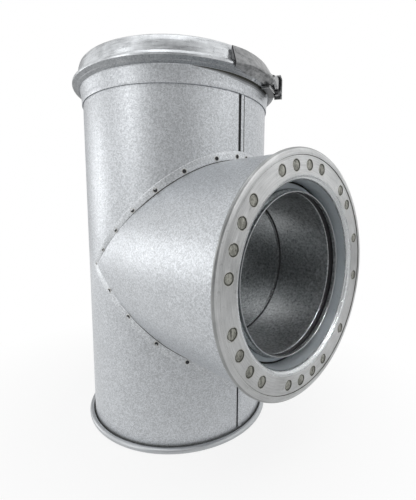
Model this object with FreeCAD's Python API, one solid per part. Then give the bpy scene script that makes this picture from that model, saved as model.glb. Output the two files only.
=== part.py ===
import FreeCAD, Part
import math
import os

# Insulated flue tee, millimetres, +Z up, +X along the branch.
# The origin lies on the main axis, in the plane of the bottom face.

V = FreeCAD.Vector

# Main sizes
shell_radius = 75.0
shell_sheet = 0.6
liner_bore_radius = 50.0
liner_sheet = 0.5
top_face_height = 270.2
branch_axis_height = 134.0
branch_face_reach = 131.4
end_ring_sheet = 0.8
throat_margin = 8.5
throat_depth = 8.0
full_turn = 360.0

# Gaps between neighbouring pieces
sheet_gap = 0.3
wool_gap = 0.5
running_fit = 0.06
pin_fit = 0.03

# Lock seam of the main shell: a narrow folded strip along the pipe
seam_azimuth = -0.7
seam_width = 3.8
seam_rise = 0.35

# Collar strip that joins the branch shell to the main shell
saddle_width = 6.0
saddle_sheet = 0.6

# Bottom ring with its rolled bead
bead_radius = 2.1
bead_sides = 8

# Branch end ring
branch_ring_overhang = 2.2
branch_ring_bevel = 0.8
lip_width = 4.5
lip_step = 0.5
throat_round = 2.2
weld_circle_offset = 0.5
weld_mark_radius = 3.3
weld_mark_depth = 0.25
weld_mark_sides = 8
weld_groups = 6
welds_per_group = 4
weld_pitch_angle = 11.9
weld_group_start = 95.55

# Collar over the top of the main shell, and the flange of the top ring
top_flange_overhang = 5.2
collar_skirt_height = 11.0
collar_flare = 0.7
collar_flange_lead = 0.3
collar_sheet = 0.6

# Locking band: a V ridge round the flanges and an upright leg above it
band_sheet = 0.7
band_flange_gap = 1.4
band_ridge_low = 1.8
band_ridge_flat = 2.0
band_lip_width = 4.4
band_lip_drop = 3.0
band_neck_width = 4.1
band_neck_rise = 2.0
band_leg_taper = 2.0
band_leg_height = 11.2
band_gap_start = 6.0
band_gap_end = 9.0

# Cover lever of the lock, a bent channel outside the band
lever_start = -9.3
lever_end = 22.4
lever_sheet = 1.0
lever_top_offset = 0.4
lever_top_inset = 1.2
lever_fold_offset = 4.1
lever_fold_rise = 1.4
lever_foot_inset = 0.9
lever_foot_drop = 2.8
lever_taper_angle = 9.6
lever_taper_steps = 4
tip_foot_outset = 1.85
tip_foot_rise = 1.6
tip_fold_inset = 2.2
tip_fold_drop = 0.3
tip_top_outset = 1.3
tip_top_drop = 1.4
end_wall_angle = 0.75

# Hinge of the lever
hinge_azimuth = 28.0
hinge_inset = 1.2
hinge_pin_radius = 1.0
hinge_barrel_wall = 0.84
hinge_barrel_drop = 3.0
hinge_barrel_height = 9.5
pin_head_rim = 0.5
pin_head_height = 0.7
web_sheet = 1.2
web_margin = 0.4

# Bracket that carries the lever: flange under the cover, walls and top ear
bracket_sheet = 1.0
bracket_end = 33.5
back_wall_angle = 0.8
outer_wall_start = 30.5
outer_wall_gap = 0.5
bracket_foot_drop = 6.2
ear_gap = 0.4
ear_start = 26.0
flange_start = 16.5
flange_gap = 0.4
flange_sheet = 1.1
flange_inset = 4.3
flange_overhang = 2.1
flange_border = 0.8
flange_border_rise = 0.5
base_plate_start = 30.0
base_plate_sheet = 0.8
base_plate_rise = 4.2

# Post of the lever that draws the link, held in an ear inside the cover
post_azimuth = 19.0
post_inset = 1.95
post_radius = 0.75
post_tip = 0.3
link_ear_angle = 2.0
link_ear_sheet = 0.9
link_ear_margin = 1.8

# Link that turns on a pin at the other end of the band and hooks round the post
link_azimuth = 2.0
link_inset = 2.4
link_pin_radius = 0.7
link_barrel_wall = 0.7
link_height = 2.2
link_base_gap = 0.45
link_base_sheet = 0.6
link_bar_sheet = 1.6
link_bar_clearance = 2.6
link_hook_clearance = 1.15
link_hook_sheet = 1.0
link_hook_depth = 1.4

# Plate on the other band end, with the ear that holds the link's pin
anchor_start = -2.5
anchor_end = 5.5
anchor_sheet = 0.6
anchor_rise = 1.6
anchor_ear_angle = 1.9
anchor_ear_reach = 2.45

# Flue liner: a tee of pipe and a branch socket with a stop bead
liner_end_setback = 0.6
liner_stub_inset = 2.0
liner_overlap = 10.0
socket_step = 0.9
socket_step_length = 1.0
branch_lip_inset = 6.8
liner_bead_setback = 4.6
liner_bead_rise = 2.4
liner_bead_half = 2.0

# Closing rings between liner and insulation
closing_ring_inset = 15.5
closing_ring_gap = 1.1
closing_sheet = 0.8

# Centring clips behind each end ring
clip_count = 6
clip_width = 14.0
clip_sheet = 0.8
clip_foot_inset = 22.6
clip_leg_gap = 1.9
clip_tip_gap = 1.8

axis_origin = V(0, 0, 0)
main_axis = V(0, 0, 1)
branch_centre = V(0, 0, branch_axis_height)
branch_axis = V(1, 0, 0)


def point_at(azimuth, radius, height=0.0):
    """Point at an azimuth from +X toward +Y, a radius and a height."""
    angle = math.radians(azimuth)
    return V(radius * math.cos(angle), radius * math.sin(angle), height)


def section_face(points):
    """Closed section in the radius and height plane."""
    corners = [V(radius, 0, height) for radius, height in points]
    return Part.Face(Part.makePolygon(corners + corners[:1]))


def sheet_face(points, sheet):
    """Section of a bent sheet, with its thickness to the left of the path."""
    path = Part.makePolygon([V(radius, 0, height) for radius, height in points])
    return path.makeOffset2D(sheet, join=2, fill=True, openResult=True).Faces[0]


def revolve(face, start=0.0, end=full_turn):
    """Solid turned from a section between two azimuths."""
    solid = face.revolve(axis_origin, main_axis, end - start)
    solid.rotate(axis_origin, main_axis, start)
    return solid


def ring_sector(inner, outer, bottom, top, start=0.0, end=full_turn):
    """Plain curved block between two radii, heights and azimuths."""
    corners = [(inner, bottom), (outer, bottom), (outer, top), (inner, top)]
    return revolve(section_face(corners), start, end)


def upright_cylinder(centre, radius, bottom, top):
    """Vertical cylinder over a point of the ground plane."""
    return Part.makeCylinder(radius, top - bottom, V(centre.x, centre.y, bottom))


def main_tube(radius, bottom, top):
    return Part.makeCylinder(radius, top - bottom, V(0, 0, bottom))


def branch_tube(radius, start, end):
    return Part.makeCylinder(radius, end - start, V(start, 0, branch_axis_height), branch_axis)


def on_branch(solid):
    """Turn a piece built about the main axis onto the branch axis."""
    solid.rotate(axis_origin, V(0, 1, 0), 90)
    solid.translate(branch_centre)
    return solid


def flip_to_bottom(solid):
    """Mirror a piece of the top end onto the bottom end."""
    middle = top_face_height / 2
    return solid.mirror(V(0, 0, middle), main_axis)


def save(name, shape):
    shape.exportStep(os.path.join("parts", name + ".step"))


# Places that several pieces share
shell_bottom = end_ring_sheet + sheet_gap
shell_top = top_face_height - end_ring_sheet - sheet_gap
shell_inner = shell_radius - shell_sheet
branch_shell_end = branch_face_reach - lip_step - end_ring_sheet - sheet_gap
throat_radius = liner_bore_radius + throat_margin
liner_outer = liner_bore_radius + liner_sheet
liner_end_inset = throat_depth + liner_end_setback
liner_stub_reach = shell_radius - liner_stub_inset
liner_lip_reach = branch_face_reach - branch_lip_inset
liner_bead_reach = liner_lip_reach - liner_bead_setback
socket_neck = liner_outer + sheet_gap
socket_bore = socket_neck + socket_step
socket_outer = socket_bore + liner_sheet
saddle_inner = shell_radius + sheet_gap
saddle_outer = saddle_inner + saddle_sheet
branch_wool_inner = socket_outer + wool_gap
wool_outer = shell_inner - wool_gap
branch_ring_radius = shell_radius + branch_ring_overhang
branch_lip_radius = branch_ring_radius - lip_width
weld_circle_radius = (branch_lip_radius + throat_radius + throat_round) / 2 + weld_circle_offset
closing_ring_radius = throat_radius - closing_ring_gap
clip_leg_radius = throat_radius + end_ring_sheet + clip_leg_gap
clip_tip_radius = shell_inner - clip_tip_gap
ridge_height = top_face_height - band_ridge_low
neck_height = ridge_height + band_ridge_flat + band_neck_rise
rim_height = neck_height + band_leg_height
top_flange_radius = shell_radius + top_flange_overhang
band_ridge_radius = top_flange_radius + band_flange_gap + band_sheet
band_neck_radius = band_ridge_radius - band_neck_width
ridge_slope = band_lip_drop / band_lip_width
ridge_inner_shift = (band_sheet + sheet_gap) * math.hypot(1, ridge_slope)
collar_skirt_radius = shell_radius + sheet_gap + collar_sheet
collar_flange_radius = top_flange_radius + collar_flange_lead
collar_flange_height = (ridge_height + ridge_inner_shift
                        - (band_ridge_radius - collar_flange_radius) * ridge_slope)
collar_shoulder = (collar_flange_height
                   - (collar_flange_radius - collar_skirt_radius - collar_flare) * ridge_slope)
collar_bottom = collar_shoulder - collar_skirt_height

# Places of the lock, all counted from the band's ridge
lever_top_radius = band_neck_radius + lever_top_offset
lever_top_height = rim_height - lever_top_inset
lever_fold_radius = band_ridge_radius + lever_fold_offset
lever_fold_height = ridge_height + lever_fold_rise
lever_foot_radius = band_ridge_radius - lever_foot_inset
lever_foot_height = ridge_height - lever_foot_drop
lever_slope = (lever_fold_radius - lever_top_radius) / (lever_top_height - lever_fold_height)
hinge_radius = lever_fold_radius - hinge_inset
hinge_barrel_radius = hinge_pin_radius + running_fit + hinge_barrel_wall
hinge_barrel_bottom = ridge_height - hinge_barrel_drop
hinge_barrel_top = hinge_barrel_bottom + hinge_barrel_height
bracket_inner = band_ridge_radius + sheet_gap
outer_wall_inner = hinge_radius + hinge_barrel_radius + outer_wall_gap
outer_wall_outer = outer_wall_inner + bracket_sheet
bracket_ear_bottom = hinge_barrel_top + ear_gap
bracket_top = bracket_ear_bottom + bracket_sheet
flange_top = hinge_barrel_bottom - flange_gap
flange_bottom = flange_top - flange_sheet
post_circle = band_ridge_radius - post_inset
link_circle = band_ridge_radius - link_inset
link_barrel_radius = link_pin_radius + running_fit + link_barrel_wall
link_bottom = neck_height + sheet_gap
link_top = link_bottom + link_height
link_ear_bottom = link_top + sheet_gap
link_ear_top = link_ear_bottom + link_ear_sheet
link_base_outer = post_circle - post_radius - link_base_gap
link_base_inner = link_base_outer - link_base_sheet
anchor_inner = band_neck_radius + sheet_gap
hinge_centre = point_at(hinge_azimuth, hinge_radius)
post_centre = point_at(post_azimuth, post_circle)
link_centre = point_at(link_azimuth, link_circle)


def main_shell():
    """Outer pipe with the branch opening and its upright lock seam."""
    shell = main_tube(shell_radius, shell_bottom, shell_top)
    strip = ring_sector(
        shell_inner,
        shell_radius + seam_rise,
        2 * bead_radius + sheet_gap,
        collar_bottom - sheet_gap,
        seam_azimuth,
        seam_azimuth + math.degrees(seam_width / shell_radius),
    )
    shell = shell.fuse(strip.cut(saddle_zone(saddle_width + sheet_gap)))
    shell = shell.cut(main_tube(shell_inner, 0, top_face_height))
    opening = branch_tube(shell_inner - saddle_width / 2, 0, 2 * shell_radius)
    return shell.cut(opening)


def saddle_zone(width):
    """Space beyond the two planes that bound the saddle strip."""
    half = branch_axis_height - shell_bottom
    reach = half - width
    corners = [
        V(-width, 0, branch_axis_height),
        V(reach, 0, branch_axis_height - half),
        V(reach + half, 0, branch_axis_height),
        V(reach, 0, branch_axis_height + half),
    ]
    wedge = Part.Face(Part.makePolygon(corners + corners[:1])).extrude(V(0, 4 * shell_radius, 0))
    wedge.translate(V(0, -2 * shell_radius, 0))
    return wedge


def branch_shell():
    """Branch pipe that ends in a saddle strip lapped over the main shell."""
    strip = main_tube(saddle_outer, 0, top_face_height).common(saddle_zone(saddle_width))
    strip = strip.common(Part.makeBox(2 * shell_radius, 4 * shell_radius, top_face_height,
                                      V(-saddle_width, -2 * shell_radius, 0)))
    pipe = branch_tube(shell_radius, 0, branch_shell_end).fuse(strip)
    pipe = pipe.cut(main_tube(saddle_inner, 0, top_face_height))
    return pipe.cut(branch_tube(shell_inner, 0, branch_shell_end))


def bottom_end_ring():
    """Flat bottom ring with an upturned throat and a rolled outer bead."""
    bead_centre = shell_radius + sheet_gap + bead_radius
    corner_radius = bead_radius / math.cos(math.pi / bead_sides)
    bead = []
    for side in range(bead_sides):
        angle = (side + 0.5) * 2 * math.pi / bead_sides
        bead.append((bead_centre + corner_radius * math.cos(angle),
                     bead_radius + corner_radius * math.sin(angle)))
    throat_outer = throat_radius + end_ring_sheet
    plate = [
        (throat_radius, 0),
        (bead_centre, 0),
        (bead_centre, end_ring_sheet),
        (throat_outer, end_ring_sheet),
        (throat_outer, throat_depth),
        (throat_radius, throat_depth),
    ]
    return revolve(section_face(plate)).fuse(revolve(section_face(bead))).removeSplitter()


def top_end_ring():
    """Flat top ring, its edge held in the locking band, with a throat."""
    path = [
        (top_flange_radius, top_face_height),
        (throat_radius, top_face_height),
        (throat_radius, top_face_height - throat_depth),
    ]
    return revolve(sheet_face(path, end_ring_sheet))


def top_collar():
    """Flared collar that laps down over the pipe and turns out under the ring."""
    path = [
        (collar_skirt_radius, collar_bottom),
        (collar_skirt_radius + collar_flare, collar_shoulder),
        (collar_flange_radius, collar_flange_height),
    ]
    return revolve(sheet_face(path, collar_sheet))


def locking_band():
    """Open band with a V ridge round the flanges and a leg for the next pipe."""
    path = [
        (band_ridge_radius - band_lip_width, ridge_height - band_lip_drop),
        (band_ridge_radius, ridge_height),
        (band_ridge_radius, ridge_height + band_ridge_flat),
        (band_neck_radius, neck_height),
        (band_neck_radius - band_leg_taper, rim_height),
    ]
    return revolve(sheet_face(path, band_sheet), band_gap_end, band_gap_start + full_turn)


def branch_end_ring():
    """Branch ring: raised lip, welded flat, rounded edge and throat."""
    face = branch_face_reach
    flat = face - lip_step
    throat_outer = throat_radius + end_ring_sheet
    round_middle = throat_round * (1 - math.sqrt(0.5))
    section = [
        (branch_ring_radius, face - branch_ring_bevel),
        (branch_ring_radius - branch_ring_bevel, face),
        (branch_lip_radius, face),
        (branch_lip_radius, flat),
        (throat_radius + throat_round, flat),
        (throat_radius + round_middle, flat - round_middle),
        (throat_radius, flat - throat_round),
        (throat_radius, face - throat_depth),
        (throat_outer, face - throat_depth),
        (throat_outer, flat - end_ring_sheet),
        (branch_ring_radius, flat - end_ring_sheet),
    ]
    ring = on_branch(revolve(section_face(section)))
    return ring.cut(Part.Compound(weld_marks(flat)))


def weld_mark(flat):
    """Shallow many-sided mark of one spot weld, on the circle of the welds."""
    corners = []
    for side in range(weld_mark_sides + 1):
        angle = (side + 0.5) * 2 * math.pi / weld_mark_sides
        corners.append(V(flat - weld_mark_depth,
                         weld_circle_radius + weld_mark_radius * math.cos(angle),
                         branch_axis_height + weld_mark_radius * math.sin(angle)))
    return Part.Face(Part.makePolygon(corners)).extrude(V(lip_step, 0, 0))


def weld_marks(flat):
    """Marks of the spot welds, in groups of four, turned from +Y toward +Z."""
    marks = []
    for group in range(weld_groups):
        for weld in range(welds_per_group):
            step = (weld - (welds_per_group - 1) / 2) * weld_pitch_angle
            mark = weld_mark(flat)
            mark.rotate(branch_centre, branch_axis, weld_group_start - group * full_turn / weld_groups - step)
            marks.append(mark)
    return marks


def clamp_lever():
    """Bent cover lever with an end wall, a hinge barrel and an ear for the post."""
    cover = revolve(lever_section(0.0), lever_start + lever_taper_angle, lever_end)
    cover = cover.fuse(lever_tip())
    barrel = upright_cylinder(hinge_centre, hinge_barrel_radius, hinge_barrel_bottom, hinge_barrel_top)
    lever = cover.multiFuse([lever_end_wall(), lever_web(), barrel, post_ear()])
    hinge_hole = upright_cylinder(hinge_centre, hinge_pin_radius + running_fit,
                                  hinge_barrel_bottom, hinge_barrel_top)
    post_hole = upright_cylinder(post_centre, post_radius + pin_fit, link_ear_bottom, link_ear_top)
    return lever.cut(hinge_hole).cut(post_hole)


def lever_section(narrowing):
    """Section of the cover, from the full one at 0 to that of the tip at 1."""
    path = [
        (lever_foot_radius + narrowing * tip_foot_outset, lever_foot_height + narrowing * tip_foot_rise),
        (lever_fold_radius - narrowing * tip_fold_inset, lever_fold_height - narrowing * tip_fold_drop),
        (lever_top_radius + narrowing * tip_top_outset, lever_top_height - narrowing * tip_top_drop),
    ]
    return sheet_face(path, lever_sheet)


def lever_tip():
    """Free end of the cover, narrowing toward the band."""
    sections = []
    for step in range(lever_taper_steps + 1):
        share = step / lever_taper_steps
        section = lever_section(1 - share).OuterWire
        section.rotate(axis_origin, main_axis, lever_start + share * lever_taper_angle)
        sections.append(section)
    return Part.makeLoft(sections, True, True)


def lever_end_wall():
    """Wall that closes the channel beside the hinge."""
    inner_fold = band_ridge_radius + 2 * sheet_gap
    wall = [
        (lever_foot_radius, lever_foot_height),
        (lever_fold_radius, lever_fold_height),
        (lever_top_radius, lever_top_height),
        (lever_top_radius - lever_sheet / 2, lever_top_height - lever_sheet),
        (lever_top_radius, neck_height + 2 * lever_sheet),
        (inner_fold, neck_height),
        (inner_fold, lever_foot_height + 2 * lever_sheet),
    ]
    return revolve(section_face(wall), lever_end - end_wall_angle, lever_end)


def lever_web():
    """Web from the end wall to the hinge barrel."""
    return ring_sector(hinge_radius - web_sheet, hinge_radius, hinge_barrel_bottom + web_margin,
                       hinge_barrel_top - web_margin, lever_end - end_wall_angle, hinge_azimuth)


def post_ear():
    """Ear inside the cover that holds the post."""
    cover_outer = lever_fold_radius - (link_ear_bottom - lever_fold_height) * lever_slope
    return ring_sector(post_circle - link_ear_margin, cover_outer - lever_sheet, link_ear_bottom,
                       link_ear_top, post_azimuth - link_ear_angle, lever_end)


def hinge_pin():
    """Headed pin of the lever hinge."""
    head_top = flange_bottom - flange_border_rise
    shank = upright_cylinder(hinge_centre, hinge_pin_radius, head_top, bracket_top)
    head = upright_cylinder(hinge_centre, hinge_pin_radius + pin_head_rim,
                            head_top - pin_head_height, head_top)
    return shank.fuse(head)


def claw_pin():
    """Post that hangs from the lever's ear inside the link's hook."""
    return upright_cylinder(post_centre, post_radius, link_bottom - post_tip, link_ear_top)


def link_pin():
    """Plain pin that hangs from the anchor's ear through the link's barrel."""
    return upright_cylinder(link_centre, link_pin_radius, link_bottom, link_ear_top)


def hinge_bracket():
    """Bracket on the band: flange under the cover, walls round the hinge, top ear."""
    outer = outer_wall_outer
    wall_start = bracket_end - back_wall_angle
    foot = ridge_height - bracket_foot_drop
    back = ring_sector(bracket_inner, outer, foot, bracket_top, wall_start, bracket_end)
    side = ring_sector(outer_wall_inner, outer, foot, bracket_top, outer_wall_start, bracket_end)
    ear = ring_sector(bracket_inner, outer, bracket_ear_bottom, bracket_top, ear_start, bracket_end)
    plate = ring_sector(bracket_inner, bracket_inner + base_plate_sheet, flange_top,
                        ridge_height + base_plate_rise, base_plate_start, bracket_end)
    lug = ring_sector(bracket_inner, outer, flange_bottom, flange_top, ear_start, bracket_end)
    pin_hole = upright_cylinder(hinge_centre, hinge_pin_radius + pin_fit, flange_bottom, bracket_top)
    return back.multiFuse([side, ear, plate, lug, bracket_flange()]).cut(pin_hole)


def bracket_flange():
    """Flat flange under the cover, with a raised border on its lower side."""
    inner = band_ridge_radius - flange_inset
    outer = band_ridge_radius + flange_overhang
    border_bottom = flange_bottom - flange_border_rise
    border_end = flange_start + math.degrees(flange_border / inner)
    plate = ring_sector(inner, outer, flange_bottom, flange_top, flange_start, bracket_end)
    long_border = ring_sector(outer - flange_border, outer, border_bottom, flange_top,
                              flange_start, ear_start)
    end_border = ring_sector(inner, outer, border_bottom, flange_top, flange_start, border_end)
    return plate.multiFuse([long_border, end_border])


def clamp_link():
    """Curved bar with a barrel at the anchor and a hook round the lever's post."""
    bar_end = post_azimuth - math.degrees(link_bar_clearance / post_circle)
    hook_start = post_azimuth + math.degrees(link_hook_clearance / post_circle)
    hook_end = hook_start + math.degrees(link_hook_sheet / post_circle)
    barrel = upright_cylinder(link_centre, link_barrel_radius, link_bottom, link_top)
    bar = ring_sector(link_base_inner, link_base_inner + link_bar_sheet, link_bottom, link_top,
                      link_azimuth, bar_end)
    base = ring_sector(link_base_inner, link_base_outer, link_bottom, link_top, link_azimuth, hook_end)
    hook = ring_sector(link_base_inner, link_base_outer + link_hook_depth, link_bottom, link_top,
                       hook_start, hook_end)
    pin_hole = upright_cylinder(link_centre, link_pin_radius + running_fit, link_bottom, link_top)
    return barrel.multiFuse([bar, base, hook]).cut(pin_hole)


def anchor_bracket():
    """Plate on the other band end with the ear of the link's pin."""
    plate = ring_sector(anchor_inner, anchor_inner + anchor_sheet, link_ear_bottom,
                        link_ear_top + anchor_rise, anchor_start, anchor_end)
    ear = ring_sector(anchor_inner, anchor_inner + anchor_ear_reach, link_ear_bottom, link_ear_top,
                      link_azimuth - anchor_ear_angle, link_azimuth + anchor_ear_angle)
    pin_hole = upright_cylinder(link_centre, link_pin_radius + pin_fit, link_ear_bottom, link_ear_top)
    return plate.fuse(ear).cut(pin_hole)


def main_liner():
    """Inner flue pipe with a stub toward the branch."""
    pipe = main_tube(liner_outer, liner_end_inset, top_face_height - liner_end_inset)
    stub = branch_tube(liner_outer, 0, liner_stub_reach)
    bore = main_tube(liner_bore_radius, 0, top_face_height)
    stub_bore = branch_tube(liner_bore_radius, 0, liner_stub_reach)
    return pipe.fuse(stub).cut(bore.fuse(stub_bore))


def branch_liner():
    """Branch socket that slides over the stub, with a stop bead by its lip."""
    path = [
        (socket_bore, liner_lip_reach),
        (socket_bore, liner_bead_reach + liner_bead_half),
        (socket_bore + liner_bead_rise, liner_bead_reach),
        (socket_bore, liner_bead_reach - liner_bead_half),
        (socket_bore, liner_stub_reach + 2 * socket_step_length),
        (socket_neck, liner_stub_reach + socket_step_length),
        (socket_neck, liner_stub_reach - liner_overlap),
    ]
    return on_branch(revolve(sheet_face(path, liner_sheet)))


def closing_ring(end_height, pipe_radius):
    """Flat ring that closes the insulation round a liner pipe."""
    bottom = end_height - closing_ring_inset
    return ring_sector(pipe_radius + sheet_gap, closing_ring_radius, bottom, bottom + closing_sheet)


def centring_clips(end_height, plate_height, pipe_radius):
    """Six bent clips from the back of an end ring to a liner pipe."""
    foot_height = end_height - clip_foot_inset
    path = [
        (pipe_radius + sheet_gap, foot_height),
        (clip_leg_radius, foot_height),
        (clip_leg_radius, plate_height),
        (clip_tip_radius, plate_height),
    ]
    clip = sheet_face(path, clip_sheet).extrude(V(0, clip_width, 0))
    clip.translate(V(0, -clip_width / 2, 0))
    clips = []
    for index in range(clip_count):
        turned = clip.copy()
        turned.rotate(axis_origin, main_axis, (index + 0.5) * full_turn / clip_count)
        clips.append(turned)
    return Part.Compound(clips)


def main_insulation():
    """Mineral wool round the main liner, open toward the branch."""
    bottom = clip_foot_inset + wool_gap
    top = top_face_height - bottom
    wool = main_tube(wool_outer, bottom, top).cut(main_tube(liner_outer + wool_gap, bottom, top))
    return wool.cut(branch_tube(branch_wool_inner, 0, 2 * shell_radius))


def branch_insulation():
    """Mineral wool round the branch liner, from the main shell to the clips."""
    end = branch_face_reach - clip_foot_inset - wool_gap
    wool = branch_tube(wool_outer, 0, end).cut(main_tube(shell_radius + sheet_gap, 0, top_face_height))
    return wool.cut(branch_tube(branch_wool_inner, 0, end))


os.makedirs("parts", exist_ok=True)

top_clip_plate = top_face_height - end_ring_sheet - sheet_gap - clip_sheet
branch_clip_plate = branch_shell_end - clip_sheet

save("main_shell", main_shell())
save("branch_shell", branch_shell())
save("bottom_end_ring", bottom_end_ring())
save("top_end_ring", top_end_ring())
save("top_collar", top_collar())
save("locking_band", locking_band())
save("branch_end_ring", branch_end_ring())
save("clamp_lever", clamp_lever())
save("hinge_pin", hinge_pin())
save("claw_pin", claw_pin())
save("hinge_bracket", hinge_bracket())
save("clamp_link", clamp_link())
save("link_pin", link_pin())
save("anchor_bracket", anchor_bracket())
save("main_liner", main_liner())
save("branch_liner", branch_liner())
save("top_closing_ring", closing_ring(top_face_height, liner_outer))
save("bottom_closing_ring", flip_to_bottom(closing_ring(top_face_height, liner_outer)))
save("branch_closing_ring", on_branch(closing_ring(branch_face_reach, socket_outer)))
save("main_insulation", main_insulation())
save("branch_insulation", branch_insulation())
save("top_centring_clips", centring_clips(top_face_height, top_clip_plate, liner_outer))
save("bottom_centring_clips", flip_to_bottom(centring_clips(top_face_height, top_clip_plate, liner_outer)))
save("branch_centring_clips", on_branch(centring_clips(branch_face_reach, branch_clip_plate, socket_outer)))
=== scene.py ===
import math

import bmesh
import bpy
from mathutils import Matrix, Vector
from mathutils.geometry import delaunay_2d_cdt


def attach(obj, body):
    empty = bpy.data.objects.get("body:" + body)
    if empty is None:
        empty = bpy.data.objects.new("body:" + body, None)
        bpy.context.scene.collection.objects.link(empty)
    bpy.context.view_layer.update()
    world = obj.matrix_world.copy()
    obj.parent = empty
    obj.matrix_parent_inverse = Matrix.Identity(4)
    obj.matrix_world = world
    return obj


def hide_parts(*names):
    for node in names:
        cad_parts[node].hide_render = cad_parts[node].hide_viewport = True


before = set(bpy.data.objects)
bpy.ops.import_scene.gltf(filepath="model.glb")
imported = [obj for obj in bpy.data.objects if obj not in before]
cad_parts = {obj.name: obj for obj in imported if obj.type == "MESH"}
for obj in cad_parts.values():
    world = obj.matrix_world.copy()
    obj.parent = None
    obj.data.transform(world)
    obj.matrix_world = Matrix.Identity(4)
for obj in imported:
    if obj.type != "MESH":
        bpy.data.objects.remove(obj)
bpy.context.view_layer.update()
scene = bpy.context.scene

# Sizes in millimetres and angles in degrees, most of them those of the solids
MM = 0.001
AXIS = 134.0
SHEET = 0.6
SHELL = 75.0
SHELL_IN = SHELL - SHEET
PIPE_FOOT = 1.1
PIPE_TOP = 269.1
OPENING = 71.4
FACE = 131.4
FLAT = FACE - 0.5
LIP = 72.7
THROAT = 58.5
WELD_CIRCLE = 67.2
EDGE_ROUND = 3.0
RIDGE = 268.4
COLLAR_FOOT = 254.72

# The lock: azimuths about the main axis, with the cover from its tip to its end wall
HINGE_AZIMUTH = 28.0
HINGE_RADIUS = 85.2
LEVER_START = -9.3
LEVER_FULL = 0.3
LEVER_WALL = 21.65
LEVER_END = 22.4

# Limits of the mesh tools: a half angle in radians, shares, steps and a distance in metres
NEARLY_STRAIGHT = 1.55
SIDE_SHARE = 0.48
MITRE_LIMIT = 0.4
END_STEPS = 4
WELD_DISTANCE = 2e-7


# Sections
def fillet(path, radii, steps=7, closed=False):
    """Polyline with its corners rounded, by one radius or by one for each corner."""
    count = len(path)
    corners = range(count) if closed else range(1, count - 1)
    points = [] if closed else [Vector(path[0])]
    for order, index in enumerate(corners):
        radius = radii[order] if isinstance(radii, (list, tuple)) else radii
        before = Vector(path[index - 1])
        after = Vector(path[(index + 1) % count])
        points += rounded_corner(before, Vector(path[index]), after, radius, steps)
    if not closed:
        points.append(Vector(path[-1]))
    return points


def rounded_corner(before, corner, after, radius, steps):
    """Arc in place of a corner, or the corner itself where the path is nearly straight."""
    to_before = before - corner
    to_after = after - corner
    u = to_before.normalized()
    v = to_after.normalized()
    half = math.acos(max(-1.0, min(1.0, u.dot(v)))) / 2
    if radius <= 0 or half > NEARLY_STRAIGHT:
        return [corner]
    reach = min(radius / math.tan(half), SIDE_SHARE * to_before.length, SIDE_SHARE * to_after.length)
    radius = reach * math.tan(half)
    centre = corner + (u + v).normalized() * (radius / math.sin(half))
    first = corner + u * reach - centre
    last = corner + v * reach - centre
    start = math.atan2(first.y, first.x)
    turn = math.atan2(last.y, last.x) - start
    turn = (turn + math.pi) % (2 * math.pi) - math.pi
    angles = [start + turn * step / steps for step in range(steps + 1)]
    return [centre + Vector((math.cos(angle), math.sin(angle))) * radius for angle in angles]


def ribbon(path, sheet):
    """Closed section of a bent sheet with rounded edges; its thickness lies left of the path."""
    count = len(path)
    left = []
    for index, point in enumerate(path):
        ahead = path[min(index + 1, count - 1)] - point
        behind = point - path[max(index - 1, 0)]
        if ahead.length == 0:
            ahead = behind
        if behind.length == 0:
            behind = ahead
        side_behind = Vector((-behind.y, behind.x)).normalized()
        side_ahead = Vector((-ahead.y, ahead.x)).normalized()
        middle = (side_behind + side_ahead).normalized()
        left.append(point + middle * (sheet / max(MITRE_LIMIT, middle.dot(side_behind))))
    loop = list(path)
    loop += round_end(path[-1], left[-1], path[-1] - path[-2])
    loop += reversed(left)
    loop += round_end(left[0], path[0], path[0] - path[1])
    return loop


def round_end(first, last, out):
    """Half circle over the edge of a sheet, without its two end points."""
    centre = (first + last) / 2
    half = (first - last).length / 2
    out = out.normalized() * half
    side = first - centre
    angles = [math.pi * step / END_STEPS for step in range(1, END_STEPS)]
    return [centre + side * math.cos(angle) + out * math.sin(angle) for angle in angles]


def arc(centre, radius, start, end, steps):
    """Points on a circle from one angle to another, in degrees."""
    return [Vector((centre[0] + radius * math.cos(angle), centre[1] + radius * math.sin(angle)))
            for angle in map(math.radians, between(start, end, steps))]


def between(low, high, count):
    """Evenly spaced values from low to high, both included."""
    return [low + (high - low) * step / count for step in range(count + 1)]


def circle(count):
    """Angles of a full circle, in radians."""
    return [2 * math.pi * step / count for step in range(count)]


# Meshes
def upright(radius, angle, height):
    """Point about the main axis; the angle runs from +X toward +Y, in degrees."""
    turn = math.radians(angle)
    return Vector((radius * math.cos(turn), radius * math.sin(turn), height))


def branchwise(radius, angle, reach):
    """Point about the branch axis; the angle runs from +Y toward +Z, in degrees."""
    turn = math.radians(angle)
    return Vector((reach, radius * math.cos(turn), AXIS + radius * math.sin(turn)))


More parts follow.
